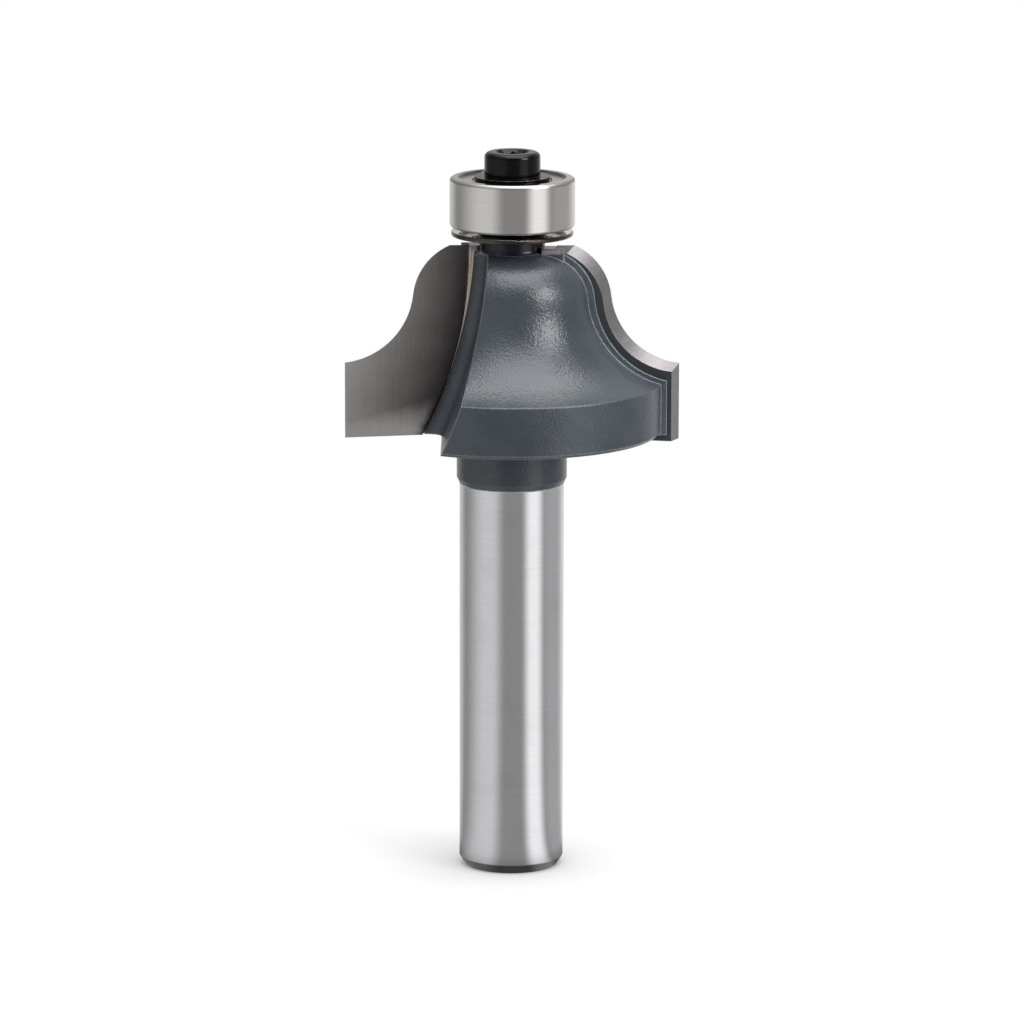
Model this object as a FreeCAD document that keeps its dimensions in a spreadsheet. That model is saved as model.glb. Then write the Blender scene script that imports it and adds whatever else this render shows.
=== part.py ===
"""Roman ogee router bit with a pilot bearing, 8 mm shank, in millimetres.

The frame has its origin at the centre of the shank's end face and +Z up the
axis, so the bit stands on its shank with the pilot bearing on top. The first
carbide tip lies on the +X side with its cutting face in the plane y = 0,
facing +Y, and the second is the same half a turn further round. The bit cuts
clockwise seen from the shank's end.
"""
import FreeCAD, Part
import Sketcher
import math
import os

doc = FreeCAD.newDocument("RouterBit")

sheet = doc.addObject("Spreadsheet::Sheet", "Sizes")

SIZES = (
    ("shank_diameter", "8.0", "ground shank, held in the collet"),
    ("shank_length", "30.04", "bare shank up to the cone"),
    ("shank_flat_diameter", "7.14", "end face inside the chamfer"),
    ("shank_chamfer_height", "0.7", "chamfer at the shank's end"),
    ("collar_diameter", "8.44", "painted collar under the rim"),
    ("cone_height", "0.48", "cone from shank to collar"),
    ("collar_length", "3.52", "collar up to the rim's underside"),
    ("collar_fillet", "0.35", "root of the collar under the rim"),
    ("rim_diameter", "22.9", "steel rim, which limits the bite"),
    ("rim_height", "3.93", "straight side of the rim"),
    ("rim_bevel", "0.25", "bevel at the rim's lower edge"),
    ("rim_edge_radius", "0.12", "rounding of the rim's upper edge"),
    ("cove_centre_radius", "13.43", "distance of the cove's centre from the axis"),
    ("cove_centre_rise", "11.18", "cove's centre above the rim's underside"),
    ("shoulder_radius", "3.7", "convex half of the steel ogee"),
    ("shoulder_rise", "10.26", "centre of the steel shoulder above the underside"),
    ("neck_diameter", "5.0", "neck between the head and the bearing"),
    ("neck_length", "1.2", "neck above the shoulder"),
    ("neck_fillet", "0.3", "root of the neck"),
    ("post_diameter", "4.74", "pilot post inside the bearing"),
    ("post_setback", "0.3", "post's end below the inner ring's upper face"),
    ("post_chamfer", "0.2", "lead-in for the bearing"),
    ("tapped_depth", "6.2", "full depth of the tapped hole"),
    ("drill_tip_height", "0.75", "cone left by the drill"),
    ("cutting_diameter", "25.5", "circle of the cutting edges"),
    ("tip_overhang", "0.55", "carbide below the rim's underside"),
    ("tip_bottom_angle", "2.2", "rise of the tip's lower edge inward, in degrees"),
    ("tip_flat_radius", "4.74", "outer end of the tip's flat top, from the axis"),
    ("tip_shoulder_radius", "4.77", "convex half of the cutting ogee"),
    ("tip_shoulder_rise", "10.02", "its centre above the underside"),
    ("tip_cove_radius", "5.92", "concave half of the cutting ogee"),
    ("tip_thickness", "1.2", "carbide, from the cutting face to its back"),
    ("tip_radial_relief", "0.6", "cutting form moved inward over the thickness"),
    ("tip_axial_relief", "0.45", "cutting form moved down over the thickness"),
    ("braze_thickness", "0.1", "silver solder under and beside the carbide"),
    ("tip_back_radius", "29.72", "hollow inner edge of the tip"),
    ("tip_foot_reach", "6.8", "that edge from the bit's axis at the rim's underside"),
    ("tip_back_rise", "13.86", "centre of that edge above the rim's underside"),
    ("land_height", "0.34", "backing land above the turned steel"),
    ("land_width", "0.25", "backing land behind the braze"),
    ("land_bevel_width", "0.15", "bevel from the land to the head"),
    ("land_bevel_depth", "0.4", "bevel's foot below the turned steel"),
    ("land_start_radius", "3.9", "inner end of the land at its top"),
    ("root_top_drop", "0.04", "flat root of the land below the tip's top"),
    ("root_height", "1.9", "depth of that root into the head"),
    ("root_inset", "0.3", "root's start inside the neck"),
    ("root_bevel_width", "0.25", "bevel behind the root"),
    ("root_bevel_depth", "0.22", "bevel's fall behind the root"),
    ("face_wheel_radius", "35.16", "wheel that grinds the cutting face"),
    ("face_wheel_lead", "0.124", "its wall inside the tip's inner edge at the underside"),
    ("face_wheel_rise", "15.97", "its axis above the rim's underside"),
    ("gullet_cutter_radius", "39.11", "milling cutter of the chip gullet"),
    ("gullet_lead", "1.45", "its wall inside the tip's inner edge at the underside"),
    ("gullet_cutter_rise", "16.28", "its axis above the rim's underside"),
    ("gullet_corner_radius", "1.0", "corner of that cutter"),
    ("gullet_floor", "1.35", "gullet's floor in front of the cutting face"),
    ("guard_diameter", "9.3", "guard washer under the bearing"),
    ("guard_thickness", "0.36", "guard washer"),
    ("guard_edge_radius", "0.12", "rounding of its outer edges"),
    ("spacer_diameter", "5.2", "spacer ring"),
    ("spacer_thickness", "0.3", "spacer between guard washer and bearing"),
    ("fit_clearance", "0.02", "radial clearance of rings and washers"),
    ("bearing_diameter", "9.525", "pilot bearing, 3/8 in"),
    ("bearing_bore", "4.7625", "3/16 in"),
    ("bearing_width", "3.81", "width of both rings"),
    ("bearing_corner_radius", "0.3", "outer ring's edges"),
    ("bore_chamfer", "0.15", "inner ring's edges"),
    ("inner_ring_setback", "0.25", "inner ring's upper face below the outer ring's"),
    ("inner_land_diameter", "5.9", "inner ring beside its raceway"),
    ("outer_land_diameter", "7.9", "outer ring beside its raceway"),
    ("mouth_diameter", "8.2", "outer ring's mouth around the shield"),
    ("shield_groove_diameter", "8.44", "groove that grips the shield"),
    ("shield_depth", "0.22", "shield's face below the ring's face"),
    ("shield_thickness", "0.2", "sheet steel"),
    ("shield_joggle", "0.22", "step from the shield's face to its flange"),
    ("shield_gap", "0.1", "running gap of the shield at the inner ring"),
    ("pitch_diameter", "7.0", "circle of the ball centres"),
    ("ball_diameter", "1.588", "1/16 in"),
    ("ball_clearance", "0.02", "between a ball and its raceways"),
    ("cage_wall", "0.5", "cage, from inside to outside"),
    ("cage_below", "1.15", "cage below the ball centres"),
    ("cage_above", "0.5", "cage's prongs above the ball centres"),
    ("pocket_clearance", "0.05", "between a ball and its pocket"),
    ("clamp_diameter", "5.73", "clamp washer over the inner ring"),
    ("clamp_thickness", "0.32", "clamp washer"),
    ("clamp_hole_clearance", "0.1", "its hole around the screw"),
    ("screw_diameter", "2.5", "thread of the cap screw"),
    ("screw_length", "6.0", "under the head"),
    ("screw_tip_chamfer", "0.3", "end of the thread"),
    ("head_diameter", "4.26", "cap screw's head"),
    ("head_height", "1.86", "cap screw's head"),
    ("head_edge_radius", "0.42", "rounding of its upper edge"),
    ("socket_width", "2.0", "hexagon across its flats"),
    ("socket_depth", "1.2", "hexagon below the head's top"),
    ("socket_mouth_diameter", "2.6", "countersink of the hexagon"),
    ("socket_mouth_depth", "0.3", "depth of that countersink"),
)

for row, (name, value, note) in enumerate(SIZES, start=1):
    sheet.set(f"A{row}", name)
    sheet.set(f"B{row}", value)
    sheet.set(f"C{row}", note)
    sheet.setAlias(f"B{row}", name)
doc.recompute()

BALL_COUNT = 8
TIP_COUNT = 2
TOOL_SPAN = "Sizes.cutting_diameter"

# Lengths that follow from the sizes.
derived = doc.addObject("App::VarSet", "Derived")


def derive(name, formula):
    """Keep one length that follows from the sizes."""
    derived.addProperty("App::PropertyFloat", name)
    derived.setExpression(name, formula)


def height_on_circle(radius, reach, rise, at, sign):
    """Height of a circle of the half section at one distance from the axis."""
    return f"{rise} {sign} sqrt(({radius})^2 - ({at} - {reach})^2)"


def reach_on_circle(radius, reach, rise, at):
    """Distance from the axis of a cutter's circle at one height."""
    return f"{reach} - sqrt(({radius})^2 - ({at} - {rise})^2)"


def centre_from_foot(foot, radius, rise):
    """Distance from the axis of the centre of a circle that meets the underside at foot."""
    return f"{foot} + sqrt(({radius})^2 - ({rise})^2)"


derive("shank_radius", "Sizes.shank_diameter / 2")
derive("collar_radius", "Sizes.collar_diameter / 2")
derive("cone_top", "Sizes.shank_length + Sizes.cone_height")
derive("underside", "cone_top + Sizes.collar_length")
derive("rim_radius", "Sizes.rim_diameter / 2")
derive("rim_top", "underside + Sizes.rim_height")
derive("cove_x", "Sizes.cove_centre_radius")
derive("cove_z", "underside + Sizes.cove_centre_rise")
derive("steel_cove_radius", "sqrt((cove_x - rim_radius)^2 + (cove_z - rim_top)^2)")
derive("shoulder_z", "underside + Sizes.shoulder_rise")
derive("steel_reach", "steel_cove_radius + Sizes.shoulder_radius")
derive("shoulder_x", "cove_x - sqrt(steel_reach^2 - (cove_z - shoulder_z)^2)")
derive("steel_share", "Sizes.shoulder_radius / steel_reach")
derive("steel_bend_x", "shoulder_x + (cove_x - shoulder_x) * steel_share")
derive("steel_bend_z", "shoulder_z + (cove_z - shoulder_z) * steel_share")
derive("neck_radius", "Sizes.neck_diameter / 2")
derive("neck_foot", height_on_circle(
    "Sizes.shoulder_radius", "shoulder_x", "shoulder_z", "neck_radius", "+"
))
derive("guard_seat", "shoulder_z + Sizes.shoulder_radius + Sizes.neck_length")
derive("spacer_seat", "guard_seat + Sizes.guard_thickness")
derive("bearing_seat", "spacer_seat + Sizes.spacer_thickness")
derive("bearing_middle", "bearing_seat + Sizes.bearing_width / 2")
derive("clamp_seat", "bearing_seat + Sizes.bearing_width - Sizes.inner_ring_setback")
derive("head_seat", "clamp_seat + Sizes.clamp_thickness")
derive("post_radius", "Sizes.post_diameter / 2")
derive("post_top", "clamp_seat - Sizes.post_setback")
derive("tapped_radius", "Sizes.screw_diameter / 2 + Sizes.fit_clearance")
derive("tapped_floor", "post_top - Sizes.tapped_depth")
derive("drill_end", "tapped_floor - Sizes.drill_tip_height")

derive("tip_radius", "Sizes.cutting_diameter / 2")
derive("tip_bottom", "underside - Sizes.tip_overhang")
derive("tip_shoulder_z", "underside + Sizes.tip_shoulder_rise")
derive("tip_reach", "Sizes.tip_shoulder_radius + Sizes.tip_cove_radius")
derive("tip_shoulder_x", "cove_x - sqrt(tip_reach^2 - (cove_z - tip_shoulder_z)^2)")
derive("tip_share", "Sizes.tip_shoulder_radius / tip_reach")
derive("tip_bend_x", "tip_shoulder_x + (cove_x - tip_shoulder_x) * tip_share")
derive("tip_bend_z", "tip_shoulder_z + (cove_z - tip_shoulder_z) * tip_share")
derive("tip_corner", height_on_circle("Sizes.tip_cove_radius", "cove_x", "cove_z", "tip_radius", "-"))
derive("tip_top", height_on_circle(
    "Sizes.tip_shoulder_radius", "tip_shoulder_x", "tip_shoulder_z", "Sizes.tip_flat_radius", "+"
))
derive("tip_back_z", "underside + Sizes.tip_back_rise")
derive("tip_back_x", centre_from_foot(
    "Sizes.tip_foot_reach", "Sizes.tip_back_radius", "Sizes.tip_back_rise"
))
derive("seat_radius", "Sizes.tip_back_radius + Sizes.braze_thickness")
derive("seat_depth", "Sizes.tip_thickness + Sizes.braze_thickness")
derive("face_wheel_z", "underside + Sizes.face_wheel_rise")
derive("face_wheel_x", centre_from_foot(
    "(Sizes.tip_foot_reach - Sizes.face_wheel_lead)",
    "Sizes.face_wheel_radius", "Sizes.face_wheel_rise",
))
derive("gullet_z", "underside + Sizes.gullet_cutter_rise")
derive("gullet_x", centre_from_foot(
    "(Sizes.tip_foot_reach - Sizes.gullet_lead)",
    "Sizes.gullet_cutter_radius", "Sizes.gullet_cutter_rise",
))
derive("bearing_half", "Sizes.bearing_width / 2")
derive("ball_radius", "Sizes.ball_diameter / 2")
derive("pitch_radius", "Sizes.pitch_diameter / 2")
derive("raceway_radius", "ball_radius + Sizes.ball_clearance")
doc.recompute()


def sketch_in(body, role):
    """Add a sketch on one of the body's own origin planes."""
    sketch = body.newObject("Sketcher::SketchObject", body.Name + "_sketch")
    plane = [feature for feature in body.Origin.OriginFeatures if feature.Role == role][0]
    sketch.AttachmentSupport = (plane, "")
    sketch.MapMode = "FlatFace"
    return sketch


def arc_between(start, finish, radius, side):
    """Arc from start to finish with its centre on the left or the right."""
    chord = finish - start
    middle = (start + finish) * 0.5
    left = FreeCAD.Vector(-chord.y, chord.x, 0).normalize()
    reach = math.sqrt(max(radius ** 2 - (chord.Length / 2) ** 2, 0))
    sense = 1 if side == "left" else -1
    centre = middle + left * (reach * sense)
    first, last = (start, finish) if side == "left" else (finish, start)
    begin = math.atan2(first.y - centre.y, first.x - centre.x)
    end = math.atan2(last.y - centre.y, last.x - centre.x)
    circle = Part.Circle(centre, FreeCAD.Vector(0, 0, 1), radius)
    return Part.ArcOfCircle(circle, begin, end)


def place_corner(sketch, geometry, spot, position, x_size, y_size):
    """Bind one corner of an outline to its two sizes."""
    placed = (
        ("DistanceX", x_size, position.x, -2),
        ("DistanceY", y_size, position.y, -1),
    )
    for kind, size, now, axis in placed:
        if size == "0":
            sketch.addConstraint(Sketcher.Constraint("PointOnObject", geometry, spot, axis))
            continue
        number = sketch.addConstraint(Sketcher.Constraint(kind, -1, 1, geometry, spot, now))
        sketch.setExpression(f"Constraints[{number}]", size)


def outline(sketch, corners):
    """Draw a closed outline through corners given as sizes.

    A corner is (x, y) for a straight side that ends there, or
    (x, y, radius, side) for an arc that ends there, with its centre on that
    side of the way round. The first entry's side closes the outline.
    """
    measure = sketch.evalExpression
    spots = [FreeCAD.Vector(measure(corner[0]), measure(corner[1]), 0) for corner in corners]
    sides = []
    for index, corner in enumerate(corners):
        start = spots[index - 1]
        finish = spots[index]
        if len(corner) == 2:
            geometry = sketch.addGeometry(Part.LineSegment(start, finish), False)
            sides.append((geometry, 1, 2))
            continue
        radius = measure(corner[2])
        geometry = sketch.addGeometry(arc_between(start, finish, radius, corner[3]), False)
        sides.append((geometry, 1, 2) if corner[3] == "left" else (geometry, 2, 1))
        number = sketch.addConstraint(Sketcher.Constraint("Radius", geometry, radius))
        sketch.setExpression(f"Constraints[{number}]", corner[2])
    for index, corner in enumerate(corners):
        geometry, _, end = sides[index]
        following, begin, _ = sides[(index + 1) % len(sides)]
        sketch.addConstraint(Sketcher.Constraint("Coincident", geometry, end, following, begin))
        place_corner(sketch, geometry, end, spots[index], corner[0], corner[1])


def turned(name, corners, level="0"):
    """A piece turned about the bit's axis, standing at one level."""
    body = doc.addObject("PartDesign::Body", name)
    body.Label = name
    sketch = sketch_in(body, "XZ_Plane")
    outline(sketch, corners)
    turning = body.newObject("PartDesign::Revolution", name + "_turning")
    turning.Profile = sketch
    turning.ReferenceAxis = (sketch, ["V_Axis"])
    turning.Angle = 360
    if level != "0":
        body.setExpression("Placement.Base.z", level)
    doc.recompute()
    return body, sketch


def circular_edges(feature, radius, level):
    """Names of the feature's full circles at one radius and one level."""
    names = []
    for number, edge in enumerate(feature.Shape.Edges, start=1):
        curve = edge.Curve
        if not isinstance(curve, Part.Circle):
            continue
        if abs(curve.Radius - radius) < 1e-4 and abs(curve.Center.z - level) < 1e-4:
            names.append(f"Edge{number}")
    return names


def dress_up(body, base, kind, name, edges, size):
    """Fillet or chamfer edges of the body's last feature."""
    dressing = body.newObject(kind, name)
    dressing.Base = (base, edges)
    prop = "Radius" if kind == "PartDesign::Fillet" else "Size"
    dressing.setExpression(prop, size)
    doc.recompute()
    return dressing


def repeat(body, axis_sketch, originals, count, name):
    """Repeat features around the bit's axis."""
    pattern = body.newObject("PartDesign::PolarPattern", name)
    pattern.Originals = originals
    pattern.Axis = (axis_sketch, ["V_Axis"])
    pattern.Angle = 360
    pattern.Occurrences = count
    body.Tip = pattern
    doc.recompute()
    return pattern


def removed(before, after):
    """Volume that a cut took away, which has to be more than nothing."""
    lost = before.Shape.Volume - after.Shape.Volume
    if lost <= 0:
        raise RuntimeError(f"{after.Name} cuts nothing")
    return lost


def wheel_cut(body, name, radius, reach, level, near, far, corner="0"):
    """Cut with a wheel whose axis runs along Y beside the bit.

    The wheel's flat side lies at near and it reaches to far. Its near edge
    may have a corner radius.
    """
    sketch = sketch_in(body, "XY_Plane")
    sketch.setExpression("AttachmentOffset.Base.x", reach)
    sketch.setExpression("AttachmentOffset.Base.z", level)
    doc.recompute()
    if corner == "0":
        side = [(radius, near)]
    else:
        side = [
            (f"{radius} - {corner}", near),
            (radius, f"{near} + {corner}", corner, "left"),
        ]
    outline(sketch, [("0", near)] + side + [(radius, far), ("0", far)])
    cut = body.newObject("PartDesign::Groove", name)
    cut.Profile = sketch
    cut.ReferenceAxis = (sketch, ["V_Axis"])
    cut.Angle = 360
    doc.recompute()
    return cut


# One piece of turned steel: shank, collar, rim, ogee head, neck and post.
cutter_body, cutter_profile = turned("cutter_body", [
    ("0", "0"),
    ("Sizes.shank_flat_diameter / 2", "0"),
    ("Derived.shank_radius", "Sizes.shank_chamfer_height"),
    ("Derived.shank_radius", "Sizes.shank_length"),
    ("Derived.collar_radius", "Derived.cone_top"),
    ("Derived.collar_radius", "Derived.underside"),
    ("Derived.rim_radius - Sizes.rim_bevel", "Derived.underside"),
    ("Derived.rim_radius", "Derived.underside + Sizes.rim_bevel"),
    ("Derived.rim_radius", "Derived.rim_top"),
    ("Derived.steel_bend_x", "Derived.steel_bend_z", "Derived.steel_cove_radius", "right"),
    ("Derived.neck_radius", "Derived.neck_foot", "Sizes.shoulder_radius", "left"),
    ("Derived.neck_radius", "Derived.guard_seat"),
    ("Derived.post_radius", "Derived.guard_seat"),
    ("Derived.post_radius", "Derived.post_top - Sizes.post_chamfer"),
    ("Derived.post_radius - Sizes.post_chamfer", "Derived.post_top"),
    ("Derived.tapped_radius", "Derived.post_top"),
    ("Derived.tapped_radius", "Derived.tapped_floor"),
    ("0", "Derived.drill_end"),
])
turning = cutter_body.Tip
rim_edge = circular_edges(turning, derived.rim_radius, derived.rim_top)
rim_fillet = dress_up(
    cutter_body, turning, "PartDesign::Fillet", "rim_fillet", rim_edge, "Sizes.rim_edge_radius"
)
neck_edge = circular_edges(rim_fillet, derived.neck_radius, derived.neck_foot)
neck_fillet = dress_up(
    cutter_body, rim_fillet, "PartDesign::Fillet", "neck_fillet", neck_edge, "Sizes.neck_fillet"
)
collar_edge = circular_edges(neck_fillet, derived.collar_radius, derived.underside)
collar_fillet = dress_up(
    cutter_body, neck_fillet, "PartDesign::Fillet", "collar_fillet", collar_edge, "Sizes.collar_fillet"
)



def steel_ogee(name, offset):
    """Corners of the steel's ogee, moved outward by an offset, from the rim up."""
    derive(f"{name}_radius", f"rim_radius + ({offset})")
    derive(f"{name}_cove_radius", f"steel_cove_radius - ({offset})")
    derive(f"{name}_shoulder_radius", f"Sizes.shoulder_radius + ({offset})")
    derive(f"{name}_share", f"{name}_shoulder_radius / steel_reach")
    derive(f"{name}_bend_x", f"shoulder_x + (cove_x - shoulder_x) * {name}_share")
    derive(f"{name}_bend_z", f"shoulder_z + (cove_z - shoulder_z) * {name}_share")
    derive(f"{name}_corner", height_on_circle(
        f"{name}_cove_radius", "cove_x", "cove_z", f"{name}_radius", "-"
    ))
    derive(f"{name}_start", height_on_circle(
        f"{name}_shoulder_radius", "shoulder_x", "shoulder_z", "Sizes.land_start_radius", "+"
    ))
    doc.recompute()
    return [
        ("Sizes.land_start_radius", "Derived.underside"),
        (f"Derived.{name}_radius", "Derived.underside"),
        (f"Derived.{name}_radius", f"Derived.{name}_corner"),
        (f"Derived.{name}_bend_x", f"Derived.{name}_bend_z", f"Derived.{name}_cove_radius", "right"),
        ("Sizes.land_start_radius", f"Derived.{name}_start", f"Derived.{name}_shoulder_radius", "left"),
    ]


def flat_sketch(body, corners, depth="0"):
    """An outline in the plane y = 0, or moved behind it by a depth."""
    sketch = sketch_in(body, "XZ_Plane")
    if depth != "0":
        sketch.setExpression("AttachmentOffset.Base.z", depth)
        doc.recompute()
    outline(sketch, corners)
    return sketch


def pad(body, name, corners, thickness, depth="0"):
    """A plate of the body, from a depth behind the plane y = 0."""
    plate = body.newObject("PartDesign::Pad", name)
    plate.Profile = flat_sketch(body, corners, depth)
    plate.setExpression("Length", thickness)
    doc.recompute()
    return plate


def ruled_loft(body, name, near, far):
    """A straight-sided transition between two outlines of equal form."""
    loft = body.newObject("PartDesign::AdditiveLoft", name)
    loft.Profile = near
    loft.Sections = [far]
    loft.Ruled = True
    doc.recompute()
    return loft


# The backing land behind each tip stands a little proud of the turned steel,
# and a bevel leads from it down to the head.
LAND = steel_ogee("land", "Sizes.land_height")
LAND_FOOT = steel_ogee("land_foot", "-Sizes.land_bevel_depth")
LAND_BACK = "Derived.seat_depth + Sizes.land_width"
land = pad(cutter_body, "backing_land", LAND, LAND_BACK)
land_bevel = ruled_loft(
    cutter_body, "land_bevel",
    flat_sketch(cutter_body, LAND, LAND_BACK),
    flat_sketch(cutter_body, LAND_FOOT, f"{LAND_BACK} + Sizes.land_bevel_width"),
)

# The land's root joins it to the neck, flat on top and bevelled behind.
derive("root_top", "tip_top - Sizes.root_top_drop")
derive("root_floor", "root_top - Sizes.root_height")
derive("root_start", "neck_radius - Sizes.root_inset")
derive("root_length", "Sizes.land_start_radius - root_start")
doc.recompute()
root_sketch = sketch_in(cutter_body, "YZ_Plane")
root_sketch.setExpression("AttachmentOffset.Base.z", "Derived.root_start")
doc.recompute()
outline(root_sketch, [
    ("0", "Derived.root_floor"),
    ("0", "Derived.root_top"),
    (f"-({LAND_BACK})", "Derived.root_top"),
    (f"-({LAND_BACK} + Sizes.root_bevel_width)", "Derived.root_top - Sizes.root_bevel_depth"),
    (f"-({LAND_BACK} + Sizes.root_bevel_width)", "Derived.root_floor"),
])
land_root = cutter_body.newObject("PartDesign::Pad", "land_root")
land_root.Profile = root_sketch
land_root.setExpression("Length", "Derived.root_length")
doc.recompute()

# Three cuts make a gullet: the tip's seat, the ground face and the chip space.
seat_cut = wheel_cut(
    cutter_body, "seat_cut",
    "Derived.seat_radius", "Derived.tip_back_x", "Derived.tip_back_z",
    "-Derived.seat_depth", "Sizes.gullet_floor / 2",
)
removed(land_root, seat_cut)
face_cut = wheel_cut(
    cutter_body, "face_cut",
    "Sizes.face_wheel_radius", "Derived.face_wheel_x", "Derived.face_wheel_z",
    "0", TOOL_SPAN,
)
removed(seat_cut, face_cut)
gullet_cut = wheel_cut(
    cutter_body, "gullet_cut",
    "Sizes.gullet_cutter_radius", "Derived.gullet_x", "Derived.gullet_z",
    "Sizes.gullet_floor", TOOL_SPAN, "Sizes.gullet_corner_radius",
)
removed(face_cut, gullet_cut)
repeat(
    cutter_body, cutter_profile,
    [land, land_bevel, land_root, seat_cut, face_cut, gullet_cut], TIP_COUNT, "gullets",
)


# Carbide tips: the cutting ogee on the face, relieved towards the back.
def tip_outline(name, inward, down):
    """Corners of a tip where its cutting form has moved inward and down."""
    back_edge = ("Sizes.tip_back_radius", "tip_back_x", "tip_back_z")
    derive(f"{name}_radius", f"tip_radius - ({inward})")
    derive(f"{name}_top", f"tip_top - ({down})")
    derive(f"{name}_top_back", reach_on_circle(*back_edge, f"{name}_top"))
    derive(f"{name}_foot_back", reach_on_circle(*back_edge, "underside"))
    foot_width = f"({name}_radius - {name}_foot_back)"
    derive(f"{name}_foot_rise", foot_width + " * tan(Sizes.tip_bottom_angle * 1 deg)")
    doc.recompute()
    return [
        (f"Derived.{name}_foot_back", f"Derived.tip_bottom + Derived.{name}_foot_rise"),
        (f"Derived.{name}_radius", "Derived.tip_bottom"),
        (f"Derived.{name}_radius", f"Derived.tip_corner - {down}"),
        (
            f"Derived.tip_bend_x - {inward}", f"Derived.tip_bend_z - {down}",
            "Sizes.tip_cove_radius", "right",
        ),
        (
            f"Sizes.tip_flat_radius - {inward}", f"Derived.{name}_top",
            "Sizes.tip_shoulder_radius", "left",
        ),
        (f"Derived.{name}_top_back", f"Derived.{name}_top"),
        (f"Derived.{name}_foot_back", "Derived.underside", "Sizes.tip_back_radius", "left"),
    ]


FACE = tip_outline("face", "0", "0")
BACK = tip_outline("back", "Sizes.tip_radial_relief", "Sizes.tip_axial_relief")

# The solder lies under the tip and up along its hollow edge.
derive("solder_top", "root_top - Sizes.braze_thickness")
for edge, radius in (("outer", "Sizes.tip_back_radius"), ("inner", "seat_radius")):
    derive(f"solder_{edge}_foot", reach_on_circle(radius, "tip_back_x", "tip_back_z", "underside"))
    derive(f"solder_{edge}_top", reach_on_circle(radius, "tip_back_x", "tip_back_z", "solder_top"))
doc.recompute()
SOLDER_BED = [
    ("Derived.solder_inner_foot", "Derived.underside", "Derived.seat_radius", "left"),
] + LAND[1:] + [
    ("Derived.solder_inner_top", "Derived.solder_top"),
]
SOLDER_SEAM = [
    ("Derived.solder_inner_foot", "Derived.underside", "Derived.seat_radius", "left"),
    ("Derived.solder_outer_foot", "Derived.underside"),
    ("Derived.solder_outer_top", "Derived.solder_top", "Sizes.tip_back_radius", "right"),
    ("Derived.solder_inner_top", "Derived.solder_top"),
]


def around(body, index, count):
    """Turn a whole piece to its place around the axis."""
    turn = FreeCAD.Rotation(FreeCAD.Vector(0, 0, 1), 360 * index / count)
    body.Placement = FreeCAD.Placement(FreeCAD.Vector(0, 0, 0), turn)
    doc.recompute()


pieces = [cutter_body]
for index in range(TIP_COUNT):
    tip = doc.addObject("PartDesign::Body", f"carbide_tip_{index + 1}")
    ruled_loft(
        tip, tip.Name + "_form",
        flat_sketch(tip, FACE), flat_sketch(tip, BACK, "Sizes.tip_thickness"),
    )
    around(tip, index, TIP_COUNT)
    solder = doc.addObject("PartDesign::Body", f"solder_layer_{index + 1}")
    pad(solder, solder.Name + "_bed", SOLDER_BED, "Sizes.braze_thickness", "Sizes.tip_thickness")
    pad(solder, solder.Name + "_seam", SOLDER_SEAM, "Sizes.tip_thickness")
    around(solder, index, TIP_COUNT)
    pieces += [tip, solder]


# Washers and spacer on the pilot post.
def washer(name, outside, hole, thickness, level):
    """A plain washer standing at one level."""
    body, _ = turned(name, [
        (hole, "0"),
        (outside, "0"),
        (outside, thickness),
        (hole, thickness),
    ], level)
    return body


derive("post_hole", "post_radius + Sizes.fit_clearance")
derive("guard_edge", "Sizes.guard_diameter / 2 - Sizes.guard_edge_radius")
doc.recompute()
guard_washer, _ = turned("guard_washer", [
    ("Derived.post_hole", "0"),
    ("Derived.guard_edge", "0"),
    ("Sizes.guard_diameter / 2", "Sizes.guard_edge_radius", "Sizes.guard_edge_radius", "left"),
    ("Sizes.guard_diameter / 2", "Sizes.guard_thickness - Sizes.guard_edge_radius"),
    ("Derived.guard_edge", "Sizes.guard_thickness", "Sizes.guard_edge_radius", "left"),
    ("Derived.post_hole", "Sizes.guard_thickness"),
], "Derived.guard_seat")
spacer_ring = washer(
    "spacer_ring", "Sizes.spacer_diameter / 2", "Derived.post_hole",
    "Sizes.spacer_thickness", "Derived.spacer_seat",
)
clamp_washer = washer(
    "clamp_washer", "Sizes.clamp_diameter / 2", "Sizes.screw_diameter / 2 + Sizes.clamp_hole_clearance",
    "Sizes.clamp_thickness", "Derived.clamp_seat",
)
pieces += [guard_washer, spacer_ring, clamp_washer]

# Ball bearing, each ring drawn about the plane of the ball centres.
derive("inner_land", "Sizes.inner_land_diameter / 2")
derive("outer_land", "Sizes.outer_land_diameter / 2")
derive("inner_lip", "sqrt(raceway_radius^2 - (pitch_radius - inner_land)^2)")
derive("outer_lip", "sqrt(raceway_radius^2 - (outer_land - pitch_radius)^2)")
derive("bore_radius", "Sizes.bearing_bore / 2")
derive("inner_ring_face", "bearing_half - Sizes.inner_ring_setback")
derive("mouth_radius", "Sizes.mouth_diameter / 2")
derive("groove_radius", "Sizes.shield_groove_diameter / 2")
derive("shield_face", "bearing_half - Sizes.shield_depth")
derive("flange_face", "shield_face - Sizes.shield_joggle")
derive("flange_back", "flange_face - Sizes.shield_thickness")
derive("shield_hole", "inner_land + Sizes.shield_gap")
doc.recompute()
bearing_inner_ring, _ = turned("bearing_inner_ring", [
    ("Derived.inner_land", "-Derived.inner_lip"),
    ("Derived.inner_land", "Derived.inner_lip", "Derived.raceway_radius", "right"),
    ("Derived.inner_land", "Derived.inner_ring_face"),
    ("Derived.bore_radius + Sizes.bore_chamfer", "Derived.inner_ring_face"),
    ("Derived.bore_radius", "Derived.inner_ring_face - Sizes.bore_chamfer"),
    ("Derived.bore_radius", "Sizes.bore_chamfer - Derived.bearing_half"),
    ("Derived.bore_radius + Sizes.bore_chamfer", "-Derived.bearing_half"),
    ("Derived.inner_land", "-Derived.bearing_half"),
], "Derived.bearing_middle")
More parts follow.
